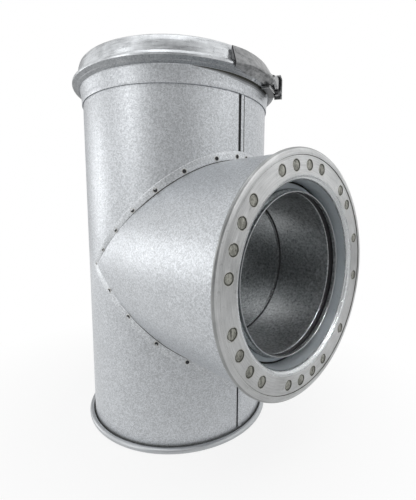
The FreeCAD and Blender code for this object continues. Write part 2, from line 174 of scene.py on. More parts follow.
class Shape:
    """Vertices and faces of one piece, in millimetres, with a material slot for each face."""

    def __init__(self):
        self.points = []
        self.faces = []
        self.slots = []

    def add(self, points):
        first = len(self.points)
        self.points.extend(points)
        return list(range(first, len(self.points)))

    def face(self, indices, slot=0):
        self.faces.append(tuple(indices))
        self.slots.append(slot)

    def band(self, low, high, closed=True, slot=0):
        """Quads between two rows of points."""
        count = len(low)
        for index in range(count if closed else count - 1):
            after = (index + 1) % count
            self.face((low[index], low[after], high[after], high[index]), slot)

    def rings(self, rows, closed_rows=True, closed_loop=True, slot=0, skip=None, slots=None):
        """Join rows of points; each row is one turn or one section."""
        made = [self.add(row) for row in rows]
        count = len(made)
        for index in range(count if closed_loop else count - 1):
            if index != skip:
                band_slot = slots[index] if slots else slot
                self.band(made[index], made[(index + 1) % count], closed_rows, band_slot)
        return made

    def loft(self, rows, slot=0, first_cap=0, last_cap=0, slots=None):
        """Join closed sections one after another and close both ends."""
        made = self.rings(rows, closed_loop=False, slot=slot, slots=slots)
        self.face(made[0], first_cap)
        self.face(list(reversed(made[-1])), last_cap)

    def lathe(self, section, place=upright, start=0.0, end=360.0, segments=288, slot=0, skip=None,
              slot_of=None):
        """Turn a closed section about an axis, with end caps for a part turn."""
        slots = None
        if slot_of:
            slots = [slot_of((point[0] + after[0]) / 2, (point[1] + after[1]) / 2)
                     for point, after in zip(section, section[1:] + section[:1])]
        full = abs(end - start) >= 359.999
        count = segments if full else max(3, int(segments * (end - start) / 360))
        angles = between(start, end, count)
        if full:
            angles.pop()
        rows = [[place(point[0], angle, point[1]) for angle in angles] for point in section]
        made = self.rings(rows, closed_rows=full, slot=slot, skip=skip, slots=slots)
        if not full:
            self.face([row[0] for row in made], slot)
            self.face([row[-1] for row in reversed(made)], slot)
        return made

    def sector(self, inner, outer, bottom, top, start, end, rounding=0.25, slot=0):
        """Curved block about the main axis with rounded long edges."""
        outline = [(inner, bottom), (outer, bottom), (outer, top), (inner, top)]
        section = fillet(outline, rounding, 3, closed=True)
        self.lathe(section, start=start, end=end, segments=720, slot=slot)


def add_object(name, data):
    item = bpy.data.objects.new(name, data)
    scene.collection.objects.link(item)
    return item


def piece(name, shape, materials, body="root", stands_for=None, sharp=32.0, weld=True):
    """Turn a shape into an object that rides on a body; edges past the sharp angle stay crisp."""
    mesh = bpy.data.meshes.new(name)
    mesh.from_pydata([point * MM for point in shape.points], [], shape.faces)
    mesh.update()
    for material in materials:
        mesh.materials.append(material)
    for polygon, index in zip(mesh.polygons, shape.slots):
        polygon.material_index = index
        polygon.use_smooth = True
    if weld:
        work = bmesh.new()
        work.from_mesh(mesh)
        bmesh.ops.remove_doubles(work, verts=work.verts, dist=WELD_DISTANCE)
        bmesh.ops.recalc_face_normals(work, faces=work.faces)
        work.to_mesh(mesh)
        work.free()
    mesh.set_sharp_from_angle(angle=math.radians(sharp))
    item = add_object(name, mesh)
    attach(item, body)
    if stands_for:
        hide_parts(stands_for)


# Shader parts
def put(tree, kind, inputs=None, **settings):
    """Add a shader node; each input is a value or the socket that feeds it."""
    node = tree.nodes.new("ShaderNode" + kind)
    for key, value in settings.items():
        setattr(node, key, value)
    for key, value in (inputs or {}).items():
        socket = node.inputs[key]
        if isinstance(value, bpy.types.NodeSocket):
            tree.links.new(value, socket)
        else:
            socket.default_value = value
    return node


def calculate(tree, operation, first, second):
    """Number from two others."""
    return put(tree, "Math", {0: first, 1: second}, operation=operation).outputs[0]


def combine(tree, operation, first, second):
    """Vector from two others."""
    return put(tree, "VectorMath", {0: first, 1: second}, operation=operation).outputs[0]


def scaled(tree, vector, factor):
    """Vector times a number."""
    return put(tree, "VectorMath", {0: vector, "Scale": factor}, operation="SCALE").outputs[0]


def along(tree, vector, way):
    """How far a place lies along a direction."""
    return put(tree, "VectorMath", {0: vector, 1: way}, operation="DOT_PRODUCT").outputs["Value"]


def length(tree, vector):
    return put(tree, "VectorMath", {0: vector}, operation="LENGTH").outputs["Value"]


def plus(tree, first, second, weight):
    """First plus second times a weight."""
    return put(tree, "Math", {0: second, 1: weight, 2: first}, operation="MULTIPLY_ADD").outputs[0]


def spread(tree, value, low, high, floor=0.0, ceiling=1.0):
    """Value between floor and ceiling, stretched to run from low to high."""
    node = put(tree, "MapRange", {"Value": value, "From Min": floor, "From Max": ceiling,
                                  "To Min": low, "To Max": high})
    return node.outputs["Result"]


def tint(tree, value, dark, light):
    """Colour between two shades."""
    ramp = put(tree, "ValToRGB", {"Fac": value})
    ramp.color_ramp.elements[0].color = (*dark, 1)
    ramp.color_ramp.elements[1].color = (*light, 1)
    return ramp.outputs["Color"]


def noise(tree, vector, scale, detail=2.0, roughness=0.5):
    node = put(tree, "TexNoise", {"Vector": vector, "Scale": scale, "Detail": detail, "Roughness": roughness})
    return node.outputs["Fac"]


def cells(tree, vector, scale):
    """Two flat random values in each cell, like the crystals of a zinc coat."""
    wobble = put(tree, "TexNoise", {"Vector": vector, "Scale": scale * 0.8, "Detail": 2.0})
    shift = combine(tree, "MULTIPLY", wobble.outputs["Color"], (1.1 / scale,) * 3)
    moved = combine(tree, "ADD", vector, shift)
    node = put(tree, "TexVoronoi", {"Vector": moved, "Scale": scale})
    split = put(tree, "SeparateColor", {"Color": node.outputs["Color"]}).outputs
    return split[0], split[1]


def turned_place(tree, vector, axis, lines, turns):
    """Place for turned streaks about the main or branch axis: fine across them, long round them."""
    if axis == "z":
        main_way, across, lift = (0, 0, 1), (1, 1, 0), 0.0
    else:
        main_way, across, lift = (1, 0, 0), (0, 1, 1), -AXIS * MM
    level = combine(tree, "ADD", vector, (0, 0, lift))
    flat = combine(tree, "MULTIPLY", level, across)
    radius = length(tree, flat)
    reach = along(tree, level, main_way)
    way = put(tree, "VectorMath", {0: flat}, operation="NORMALIZE").outputs[0]
    way = scaled(tree, way, turns)
    count = calculate(tree, "MULTIPLY", calculate(tree, "ADD", radius, reach), lines)
    return combine(tree, "ADD", way, scaled(tree, main_way, count))


def new_material(name):
    material = bpy.data.materials.new(name)
    material.use_nodes = True
    tree = material.node_tree
    tree.nodes.clear()
    place = put(tree, "TexCoord").outputs["Object"]
    return material, tree, place


def finish_surface(tree, shader, output="OutputMaterial"):
    tree.links.new(shader, put(tree, output).inputs["Surface"])


def shade(tree, colour, rough, metal, height, bump, depth):
    """Shader with the given colour and roughness, and a relief from a height."""
    relief = put(tree, "Bump", {"Strength": bump, "Distance": depth, "Height": height})
    shader = put(tree, "BsdfPrincipled", {"Base Color": colour, "Roughness": rough, "Metallic": metal,
                                          "Normal": relief.outputs["Normal"]})
    finish_surface(tree, shader.outputs["BSDF"])


# Materials
def galvanised(name, dark, light, patch=0.16):
    """Zinc coated sheet: fine speckle, small crystals and faint broad patches."""
    speck = 0.85
    crystal = 0.5
    rough = 0.40
    material, tree, place = new_material(name)
    fine = noise(tree, place, 1600, roughness=0.6)
    big, other = cells(tree, place, 1350)
    broad = noise(tree, place, 34, detail=3.0, roughness=0.6)
    value = plus(tree, 0.5 - 0.5 * (speck + crystal + patch), fine, speck)
    value = plus(tree, value, big, crystal)
    value = plus(tree, value, broad, patch)
    roughness = spread(tree, other, rough - 0.06, rough + 0.08)
    height = plus(tree, fine, big, 0.5)
    shade(tree, tint(tree, value, dark, light), roughness, 0.8, height, bump=0.22, depth=0.00016)
    return material


def satin(name, dark, light, rough=0.36, metal=0.85, axis="x", lines=1400, turns=5.0, streak=0.6, patch=0.5,
          blotch=38, bump=0.08):
    """Drawn or spun sheet with turned streaks, soft blotches and small nicks."""
    speck = 0.25
    material, tree, place = new_material(name)
    turned = noise(tree, turned_place(tree, place, axis, lines, turns), 1.0, detail=3.0, roughness=0.6)
    fine = noise(tree, place, 1100, roughness=0.6)
    broad = noise(tree, place, blotch, detail=3.0, roughness=0.55)
    nick = noise(tree, place, 330, detail=4.0, roughness=0.7)
    nicks = spread(tree, nick, 1.0, 0.0, floor=0.30, ceiling=0.38)
    value = plus(tree, 0.5 - 0.5 * (speck + streak + patch), fine, speck)
    value = plus(tree, value, turned, streak)
    value = plus(tree, value, broad, patch)
    value = plus(tree, value, nicks, -0.30)
    roughness = spread(tree, turned, rough - 0.06, rough + 0.08, floor=0.3, ceiling=0.7)
    height = plus(tree, fine, turned, 1.2)
    shade(tree, tint(tree, value, dark, light), roughness, metal, height, bump, depth=0.0001)
    return material


def weld_face(name):
    """Pressed olive-grey face of a spot weld with a pale streak."""
    material, tree, place = new_material(name)
    fine = noise(tree, place, 900, detail=3.0, roughness=0.7)
    stretched = combine(tree, "MULTIPLY", place, (1, 1, 0.3))
    streak = noise(tree, stretched, 480, roughness=0.6)
    value = plus(tree, -1.15, fine, 1.5)
    value = plus(tree, value, streak, 1.8)
    colour = tint(tree, value, dark=(0.07, 0.07, 0.06), light=(0.50, 0.50, 0.45))
    shade(tree, colour, spread(tree, fine, 0.40, 0.60), 0.7, streak, bump=0.8, depth=0.0004)
    return material


def grained(name, dark, light, metal, rough=0.6):
    """Finely grained metal of pins and weld rims, and of the painted shade in creases, steps, pits, gaps and
    under the band.
    """
    material, tree, place = new_material(name)
    fine = noise(tree, place, 900, detail=3.0, roughness=0.6)
    roughness = spread(tree, fine, rough - 0.08, rough + 0.1)
    shade(tree, tint(tree, fine, dark, light), roughness, metal, fine, bump=0.2, depth=0.0001)
    return material


def liner_metal(name):
    """Rolled liner pipe with a fine spangle."""
    material, tree, place = new_material(name)
    fine = noise(tree, place, 560, detail=3.0, roughness=0.65)
    broad = noise(tree, place, 30, detail=3.0, roughness=0.6)
    value = plus(tree, -0.95, fine, 2.3)
    value = plus(tree, value, broad, 0.6)
    colour = tint(tree, value, dark=(0.20, 0.21, 0.215), light=(0.66, 0.68, 0.69))
    roughness = spread(tree, fine, 0.28, 0.44, floor=0.3, ceiling=0.7)
    shade(tree, colour, roughness, 0.95, fine, bump=0.25, depth=0.0001)
    return material


def wool(name):
    """Mineral wool: matted fibres in brown."""
    material, tree, place = new_material(name)
    fibre = noise(tree, combine(tree, "MULTIPLY", place, (1, 0.2, 1)), 1500, detail=4.0, roughness=0.7)
    clump = noise(tree, place, 120, detail=3.0, roughness=0.6)
    value = plus(tree, -0.1, fibre, 0.7)
    value = plus(tree, value, clump, 0.5)
    colour = tint(tree, value, dark=(0.03, 0.03, 0.028), light=(0.12, 0.115, 0.10))
    shade(tree, colour, spread(tree, fibre, 0.85, 1.0), 0.0, fibre, bump=0.6, depth=0.0006)
    return material


zinc = galvanised("galvanised_sheet", (0.34, 0.355, 0.37), (0.79, 0.815, 0.845))
strip_zinc = galvanised("saddle_strip", (0.36, 0.375, 0.39), (0.86, 0.885, 0.91), patch=0.9)
# Painted shade: a darker copy of the zinc for the band's flank under the ridge
flank_painted_shade = galvanised("band_flank_painted_shade", (0.17, 0.18, 0.19), (0.46, 0.475, 0.49), patch=0.9)
ring_satin = satin("ring_satin", (0.34, 0.346, 0.348), (0.80, 0.81, 0.812), streak=0.9, patch=0.8)
hem_metal = satin("hem_metal", (0.16, 0.165, 0.165), (0.56, 0.57, 0.57), streak=0.8, patch=1.1)
band_zinc = satin("band_sheet", (0.24, 0.25, 0.26), (0.86, 0.885, 0.91), rough=0.30, axis="z", lines=1000,
                  turns=9.0, streak=0.8, patch=1.2, blotch=75, bump=0.15)
turned_zinc = satin("turned_zinc", (0.34, 0.355, 0.37), (0.62, 0.635, 0.65), rough=0.38, axis="z", lines=1100)
throat_metal = satin("throat_metal", (0.34, 0.375, 0.40), (0.60, 0.65, 0.68), rough=0.48, metal=0.45,
                     lines=500, streak=0.3)
latch_metal = satin("latch_metal", (0.06, 0.063, 0.066), (0.46, 0.465, 0.47), axis="z", lines=900, streak=0.8,
                    patch=1.3, blotch=260, bump=0.2)
# Painted shade: a darker copy of the latch metal for the bracket's shelf and flange
latch_painted_shade = satin("latch_painted_shade", (0.06, 0.062, 0.065), (0.22, 0.225, 0.23), rough=0.4, axis="z", lines=900,
                   blotch=260)
# Painted highlight: a lighter copy of the latch metal for the cover's nose and the flange's border
latch_painted_highlight = satin("latch_painted_highlight", (0.26, 0.265, 0.27), (0.62, 0.625, 0.63), axis="z", lines=900, blotch=260)
weld_metal = weld_face("weld_face")
# Painted shade: dark grey metal for creases, steps, the walls of the weld dents and under the band
painted_crease_shade = grained("painted_crease_shade_metal", (0.035, 0.035, 0.03), (0.12, 0.12, 0.10), metal=0.7)
weld_halo = grained("weld_rim", (0.40, 0.40, 0.385), (0.66, 0.66, 0.64), metal=0.85, rough=0.36)
# Painted shade: near-black metal for deep folds, pits and gaps
painted_deep_shade = grained("painted_deep_shade", (0.012, 0.012, 0.013), (0.05, 0.05, 0.055), metal=0.4, rough=0.7)
# Painted shade: the band's shadow on the collar, in two tones
collar_painted_shade_dark = grained("collar_painted_shade_dark", (0.10, 0.105, 0.11), (0.22, 0.225, 0.23), metal=0.7, rough=0.5)
collar_painted_shade_pale = grained("collar_painted_shade_pale", (0.22, 0.23, 0.24), (0.46, 0.475, 0.49), metal=0.75, rough=0.45)
pin_metal = grained("pin_metal", (0.16, 0.16, 0.165), (0.34, 0.34, 0.35), metal=0.9, rough=0.38)
# A polished edge, made lighter as a painted highlight on the ring's rounded inner edge
polished_highlight_edge = satin("polished_painted_highlight_edge", (0.48, 0.50, 0.51), (0.78, 0.80, 0.81), rough=0.26, lines=600, streak=0.4)
lip_metal = satin("lip_metal", (0.26, 0.27, 0.28), (0.52, 0.535, 0.545), rough=0.34, lines=600, streak=0.3)
liner_steel = liner_metal("liner_steel")
mineral = wool("mineral_wool")


# Main pipe, with the lock seam above and below the branch
SEAM_UPPER = (215.6, COLLAR_FOOT - 0.3)
SEAM_LOWER = (4.5, 52.4)
SEAM_AZIMUTHS = {SEAM_UPPER: 0.35, SEAM_LOWER: 0.9}
SEAM_RELIEF = [(-2.0, 0.0), (-1.75, -0.5), (-0.3, -0.55), (-0.05, 0.30), (0.3, 0.38),
               (1.75, 0.34), (1.95, 0.1), (2.15, -0.2), (2.55, -0.2), (2.75, 0.0)]
SEAM_COLUMNS = (-2.0, -1.87, -1.75, -1.4, -0.8, -0.3, -0.12, -0.05, 0.1, 0.3, 0.9, 1.4, 1.75, 1.88, 1.95,
                2.15, 2.4, 2.55, 2.72, 2.75)
ROW_GAP = 0.1
PIPE_PLAIN, PIPE_FOLD_SHADE, PIPE_EDGE_SHADE = range(3)


def seam_turn(angle, height):
    """Angle from the seam's own azimuth, or nothing at a height without the seam."""
    for (foot, top), azimuth in SEAM_AZIMUTHS.items():
        if foot < height < top:
            return (angle + 180) % 360 - 180 - azimuth
    return None


def seam_offset(angle, height):
    """Relief of the lock seam: a deep fold line, a raised strip and its edge line."""
    turn = seam_turn(angle, height)
    if turn is None:
        return 0.0
    for (start, low), (end, high) in zip(SEAM_RELIEF, SEAM_RELIEF[1:]):
        if start < turn <= end:
            return low + (high - low) * (turn - start) / (end - start)
    return 0.0


def seam_slot(angle, height):
    """Painted shade: near black in the fold line and dark grey in the edge line; the lower seam shows a thin
    fold only.
    """
    turn = seam_turn(angle, height)
    if turn is None:
        return PIPE_PLAIN
    if height < SEAM_LOWER[1]:
        return PIPE_FOLD_SHADE if -0.85 < turn < -0.1 else PIPE_PLAIN
    if -1.85 < turn < -0.1:
        return PIPE_FOLD_SHADE
    return PIPE_EDGE_SHADE if 1.9 < turn < 2.7 else PIPE_PLAIN


def pipe_columns():
    """Azimuths of the mesh columns, close together at the seam."""
    near = [base + turn for base in SEAM_AZIMUTHS.values() for turn in SEAM_COLUMNS]
    first, last = -2.4, 3.8
    return [first] + sorted(near) + between(last, first + 360, 230)[:-1]


def pipe_rows():
    """Heights of the mesh rows, with a narrow row wherever the seam starts or ends."""
    rows = [PIPE_FOOT, 2.5, SEAM_LOWER[0] - ROW_GAP]
    rows += between(SEAM_LOWER[0] + ROW_GAP, SEAM_LOWER[1] - ROW_GAP, 8)
    rows += between(SEAM_LOWER[1] + ROW_GAP, SEAM_UPPER[0] - ROW_GAP, 40)
    rows += between(SEAM_UPPER[0] + ROW_GAP, SEAM_UPPER[1] - ROW_GAP, 6)
    return rows + [SEAM_UPPER[1] + ROW_GAP, 260.0, PIPE_TOP]


def opened_cells(grid):
    """Cells of the pipe's grid that lie in the opening of the branch."""
    count = len(grid[0])
    opened = set()
    for row in range(len(grid) - 1):
        for column in range(count):
            middle = (grid[row][column] + grid[row + 1][(column + 1) % count]) / 2
            if middle.x > 0 and math.hypot(middle.y, middle.z - AXIS) < OPENING:
                opened.add((row, column))
    return opened


def draw_to_opening(grid, radius, opened):
    """Move the points round the opened cells onto the round edge of the opening."""
    count = len(grid[0])
    for row in range(len(grid)):
        for column in range(count):
            beside = {(r, c % count) for r in (row - 1, row) for c in (column - 1, column)}
            gone = beside & opened
            if gone and gone != beside:
                point = grid[row][column]
                distance = math.hypot(point.y, point.z - AXIS)
                y = point.y * OPENING / distance
                z = AXIS + (point.z - AXIS) * OPENING / distance
                grid[row][column] = Vector((math.sqrt(radius * radius - y * y), y, z))


def main_pipe():
    shape = Shape()
    angles = pipe_columns()
    heights = pipe_rows()
    count = len(angles)
    outer = [[upright(SHELL + seam_offset(angle, height), angle, height) for angle in angles]
             for height in heights]
    inner = [[upright(SHELL_IN, angle, height) for angle in angles] for height in heights]
    opened = opened_cells(outer)
    draw_to_opening(outer, SHELL, opened)
    draw_to_opening(inner, SHELL_IN, opened)
    out_rows = [shape.add(row) for row in outer]
    in_rows = [shape.add(row) for row in inner]
    for row in range(len(heights) - 1):
        for column in range(count):
            if (row, column) in opened:
                continue
            after = (column + 1) % count
            middle = angles[column] + ((angles[after] - angles[column]) % 360) / 2
            slot = seam_slot(middle, (heights[row] + heights[row + 1]) / 2)
            corners = [(row, column), (row, after), (row + 1, after), (row + 1, column)]
            shape.face([out_rows[r][c] for r, c in corners], slot)
            shape.face([in_rows[r][c] for r, c in corners[:1] + corners[:0:-1]])
            # Cut edge of the sheet beside an opened cell
            for beside, first, last in (((row, (column - 1) % count), 0, 3), ((row, after), 1, 2),
                                        ((row - 1, column), 0, 1), ((row + 1, column), 3, 2)):
                if beside in opened:
                    edge = [corners[first], corners[last]]
                    shape.face([out_rows[r][c] for r, c in edge] + [in_rows[r][c] for r, c in edge[::-1]])
    shape.band(out_rows[0], in_rows[0])
    shape.band(out_rows[-1], in_rows[-1])
    piece("main_pipe", shape, [zinc, painted_deep_shade, painted_crease_shade], stands_for="main_shell",
          sharp=40)


# Branch pipe, from its saddle strip to its end
STRIP_SPREAD = 94.59
STRIP_WIDTH = 6.0
STRIP_RADIUS = SHELL + 0.65
STRIP_CROWN = 0.12
FOLD_GAP = 0.6
BRANCH_END = 129.8
CLINCH_PLACE = 0.58
CLINCH_ANGLES = [85.6, 92.8, 105.7, 122.4, 136.7, 149, 160, 171, 180, 193.5, 206.7, 222.5, 238.5, 254, 270]
CLINCH_PROFILE = [(2.0, -0.25), (1.85, 0.02), (1.65, 0.10), (1.5, 0.12), (1.36, 0.06), (1.28, 0.03),
                  (0.6, 0.02), (0.02, 0.015)]
BRANCH_PLAIN, BRANCH_STRIP, BRANCH_CREASE_SHADE = range(3)


def strip_point(angle, part, lift=0.0):
    """Point on the saddle strip: part 0 at its outer edge, 1 at the fold."""
    c = math.cos(math.radians(angle))
    s = math.sin(math.radians(angle))
    up = 1 if s >= 0 else -1
    fold = Vector((SHELL * abs(s) + FOLD_GAP, SHELL * c, SHELL * s))
    fold_azimuth = math.atan2(fold.y, fold.x)
    edge_azimuth = math.asin(c) * STRIP_SPREAD / 90
    edge_height = up * max(0.0, STRIP_RADIUS * math.cos(edge_azimuth) + STRIP_WIDTH)
    crown = STRIP_CROWN * (1 - (2 * part - 1) ** 2)
    azimuth = edge_azimuth + (fold_azimuth - edge_azimuth) * part
    height = edge_height + (fold.z - edge_height) * part
    radius = STRIP_RADIUS + (math.hypot(fold.x, fold.y) - STRIP_RADIUS) * part + crown + lift
    return Vector((radius * math.cos(azimuth), radius * math.sin(azimuth), AXIS + height))


def branch_pipe():
    shape = Shape()
    angles = between(0, 360, 320)[:-1]
    saddle = [SHELL * abs(math.sin(math.radians(angle))) for angle in angles]
    strip_rows = ((0.05, -0.42), (0.0, -0.40), (-0.01, -0.15), (0.02, -0.02), (0.07, 0.0), (0.2, 0.0),
                  (0.35, 0.0), (0.5, 0.0), (0.65, 0.0), (0.8, 0.0), (0.9, 0.0), (0.93, -0.05))
    rows = [[strip_point(angle, part, lift) for angle in angles] for part, lift in strip_rows]
    rows.append([branchwise(SHELL - 0.35, angle, reach + 0.75) for angle, reach in zip(angles, saddle)])
    starts = [reach + 1.3 for reach in saddle]
    for part in (0.0, 0.02, 0.06, 0.12, 0.22, 0.36, 0.52, 0.7, 0.88, 0.985):
        rows.append([branchwise(SHELL, angle, first + (BRANCH_END - 0.3 - first) * part)
                     for angle, first in zip(angles, starts)])
    for radius, reach in ((SHELL, BRANCH_END - 0.15), (SHELL - 0.15, BRANCH_END), (SHELL_IN, BRANCH_END)):
        rows.append([branchwise(radius, angle, reach) for angle in angles])
    back = []
    for angle in angles:
        y = SHELL_IN * math.cos(math.radians(angle))
        back.append(branchwise(SHELL_IN, angle, math.sqrt((SHELL + 0.25) ** 2 - y * y)))
    rows.append(back)
    slots = [BRANCH_PLAIN] * len(rows)
    # Painted shade: dark lines at the outer edge of the strip and in its fold
    slots[1] = slots[11] = BRANCH_CREASE_SHADE
    slots[3:11] = [BRANCH_STRIP] * 8
    shape.rings(rows, slots=slots)
    piece("branch_pipe", shape, [zinc, strip_zinc, painted_crease_shade], stands_for="branch_shell",
          sharp=40)


def clinch_points():
    """Pressed points that hold the saddle strip: a small rim round a shallow pit in painted shade."""
    behind = [180 - angle for angle in CLINCH_ANGLES if 95 < angle < 265]
    shape = Shape()
    for angle in CLINCH_ANGLES + behind:
        centre = strip_point(angle, CLINCH_PLACE)
        out = Vector((centre.x, centre.y, 0)).normalized()
        up = Vector((0, 0, 1))
        across = up.cross(out)
        rows = [[centre + out * height + (across * math.cos(turn) + up * math.sin(turn)) * size
                 for turn in circle(20)] for size, height in CLINCH_PROFILE]
        shape.rings(rows, closed_loop=False, slots=[0] * 4 + [1] * 3)
    piece("clinch_points", shape, [weld_halo, painted_deep_shade], weld=False, sharp=60)


# Ends of the main pipe
def rim_slot(radius, height):
    """Painted shade in the crease between the pipe and its rolled rim."""
    return 1 if 74.9 < radius < 76.25 and height > 1.0 else 0


def bottom_rim():
    """Throat, flat ring and a rolled bead round the foot of the pipe."""
    shape = Shape()
    bead = (77.4, 2.1)
    bead_radius = 2.1
    flat_end = 72.0
    sheet = 0.8
    throat_top = 8.0
    section = [Vector((THROAT, throat_top - 0.4)), Vector((THROAT, 1.6))]
    section += arc((THROAT + 1.5, 1.5), 1.5, 190, 262, 6)
    section.append(Vector((flat_end, 0.0)))
    section += arc(bead, bead_radius, -90, 185, 30)
    section += arc(bead, bead_radius - 0.7, 180, -88, 20)
    section.append(Vector((flat_end, sheet)))
    section += arc((THROAT + 1.7, 1.7), 0.9, 265, 185, 4)
    section += [Vector((THROAT + sheet, throat_top - 0.4)), Vector((THROAT + 0.6, throat_top)),
                Vector((THROAT + 0.2, throat_top))]
    shape.lathe(section, slot_of=rim_slot)
    piece("bottom_rim", shape, [turned_zinc, painted_crease_shade], stands_for="bottom_end_ring")


def top_ring():
    shape = Shape()
    path = fillet([(80.2, 270.2), (THROAT, 270.2), (THROAT, 262.2)], 2.0)
    shape.lathe(ribbon(path, 0.8))
    piece("top_ring", shape, [turned_zinc], stands_for="top_end_ring")


def collar():
    """Flared collar, with thin strips of painted shade under the band that fade down and to both sides."""
    shape = Shape()
    outline = [(75.9, COLLAR_FOOT), (75.95, 258.4), (76.85, 265.3), (80.5, 268.38)]
    shape.lathe(ribbon(fillet(outline, [9.0, 1.8], 10), SHEET))
    reach = 30
    top_radius = 76.84
    lean = 0.13
    # Three strips of painted shade, darkest at the top, for the band's shadow on the collar
    for depth_limit, lift, slot in ((1.5, 0.12, 1), (2.6, 0.08, 2), (3.8, 0.04, 3)):
        rows = []
        for azimuth in range(-reach, reach + 1):
            depth = depth_limit * min(1.0, (azimuth + reach) / reach) * min(1.0, (reach - azimuth) / 5 + 0.05)
            corners = ((top_radius, 265.5), (76.95, 265.5), (76.93 - lean * depth, 265.35 - depth),
                       (top_radius - lean * depth, 265.3 - depth))
            rows.append([upright(radius + lift, azimuth, height) for radius, height in corners])
        shape.loft(rows, slot, slot, slot)
    piece("collar", shape, [zinc, painted_crease_shade, collar_painted_shade_dark, collar_painted_shade_pale], stands_for="top_collar",
          weld=False)


def flank_slot(radius, height):
    """The flank under the ridge is duller: darker, as painted shade."""
    return 1 if height < 268.6 else 0


def band():
    """Open locking band: hem, V ridge with two beads above it, and an upright leg."""
    shape = Shape()
    outline = [(77.9, 265.4), (79.6, 266.55), (79.75, 266.95), (82.3, RIDGE), (82.3, 270.0), (80.9, 270.75),
               (80.75, 271.15), (79.7, 271.6), (79.5, 272.0), (78.2, 272.5), (78.1, 275.5), (77.7, 279.2),
               (76.9, 282.0), (75.9, 283.1)]
    rounding = [0.25, 0.25, 0.9, 0.8, 0.15, 0.15, 0.15, 0.15, 0.8, 6.0, 6.0, 1.5]
    shape.lathe(ribbon(fillet(outline, rounding, 5), 0.7), start=9.0, end=366.0, slot_of=flank_slot)
    piece("band", shape, [band_zinc, flank_painted_shade], stands_for="locking_band")


# Ring at the end of the branch
WELD_GROUPS = 6
WELDS_IN_GROUP = 4
FIRST_GROUP = 95.55
WELD_PITCH = 11.9
WELD_REACH = 3.4
WELD_PROFILE = [(3.95, 0.0), (3.8, 0.05), (3.65, 0.06), (3.5, 0.0), (3.25, -0.25), (2.75, -0.30),
                (2.4, -0.20), (1.6, -0.10), (0.8, -0.06), (0.02, -0.08)]
FAINT_WELDS = (6, 9, 10)
RING_FLAT, WELD_RIM, RING_STEP_SHADE, WELD_MIDDLE, RING_THROAT, RING_EDGE, RING_HEM = range(7)


def ring_slot(radius, reach):
    """Material slot at a place on the ring's section."""
    edge_start = FLAT - EDGE_ROUND
    if radius < THROAT + 0.7 and reach < edge_start + 0.3:
        return RING_THROAT
    # Rounded inner edge: polished, and lighter as a painted highlight
    if radius < THROAT + EDGE_ROUND + 0.1 and reach > edge_start - 0.1:
        return RING_EDGE
    if radius > 76.3:
        return RING_HEM
    # Painted shade on the step at the lip
    if abs(radius - LIP) < 0.25 and reach < FACE - 0.12:
        return RING_STEP_SHADE
    return RING_FLAT


def weld_rows(centre, order):
    """Rows of one slightly uneven weld mark, from its rim to its middle."""
    size = 1 + 0.04 * math.sin(order * 2.4)
    deep = 0.12 if order in FAINT_WELDS else 1.0
    rows = []
    for radius, height in WELD_PROFILE:
        row = []
        for turn in circle(28):
            wave = 1 + 0.018 * math.sin(2 * turn + order) + 0.012 * math.sin(5 * turn + 2 * order)
            row.append(Vector((FLAT + height * deep, centre.y + radius * size * wave * math.cos(turn),
                               centre.z + radius * size * wave * math.sin(turn))))
        rows.append(row)
    return rows


def fill_flat(shape, loops, welds):
    """Faces of the flat between its two rims and round the weld marks."""
    points = [index for loop in loops for index in loop]
    plane = [Vector((shape.points[index].y, shape.points[index].z)) for index in points]
    edges = []
    first = 0
    for loop in loops:
        count = len(loop)
        edges += [(first + index, first + (index + 1) % count) for index in range(count)]
        first += count
    places, _, triangles, origins = delaunay_2d_cdt(plane, edges, [], 0, 1e-6)[:4]
    for triangle in triangles:
        middle = sum((places[index] for index in triangle), Vector((0, 0))) / 3
        on_flat = THROAT + EDGE_ROUND - 0.1 < math.hypot(middle.x, middle.y - AXIS) < LIP
        in_weld = any(math.hypot(middle.x - weld.y, middle.y - weld.z) < WELD_REACH for weld in welds)
        if on_flat and not in_weld:
            shape.face([points[origins[index][0]] for index in triangle])


def branch_ring():
    """Branch ring with a hemmed edge, a welded flat, a rounded edge and a throat."""
    shape = Shape()
    sheet = 0.8
    flat_back = FLAT - sheet
    hem_radius = 77.2
    hem_back = 129.1
    # Longer than the solid's throat, to cover the gap round the socket
    throat_end = 116.6
    outline = [(THROAT, throat_end), (THROAT, FLAT), (LIP, FLAT), (LIP, FACE - 0.12), (74.2, FACE),
               (76.0, FACE - 0.3), (hem_radius, FACE - 1.2), (hem_radius, hem_back), (75.45, hem_back),
               (75.45, flat_back), (THROAT + sheet, flat_back), (THROAT + sheet, throat_end)]
    rounding = [0.15, EDGE_ROUND, 0.10, 0.25, 3.0, 3.0, 0.8, 0.9, 0.3, 0.3, EDGE_ROUND - sheet, 0.15]
    section = fillet(outline, rounding, closed=True)
    flat_start = next(index for index in range(len(section) - 1)
                      if abs(section[index].y - FLAT) < 1e-4 and abs(section[index + 1].y - FLAT) < 1e-4
                      and section[index + 1].x - section[index].x > 5)
    made = shape.lathe(section, place=branchwise, segments=360, skip=flat_start, slot_of=ring_slot)
    loops = [made[flat_start], made[flat_start + 1]]
    welds = []
    for group in range(WELD_GROUPS):
        for weld in range(WELDS_IN_GROUP):
            order = group * WELDS_IN_GROUP + weld
            angle = FIRST_GROUP - 360 / WELD_GROUPS * group - (weld - 1.5) * WELD_PITCH
            centre = branchwise(WELD_CIRCLE, angle, FLAT)
            # Painted shade on the walls of the weld dents
            slots = [WELD_RIM] * 3 + [RING_STEP_SHADE] * 2 + [WELD_MIDDLE] * 4
            if order in FAINT_WELDS:
                slots = [RING_FLAT] * len(slots)
            loops.append(shape.rings(weld_rows(centre, order), closed_loop=False, slots=slots)[0])
            welds.append(centre)
    fill_flat(shape, loops, welds)
    piece("branch_ring", shape, [ring_satin, weld_halo, painted_crease_shade, weld_metal, throat_metal, polished_highlight_edge,
                                 hem_metal], stands_for="branch_end_ring", sharp=38)


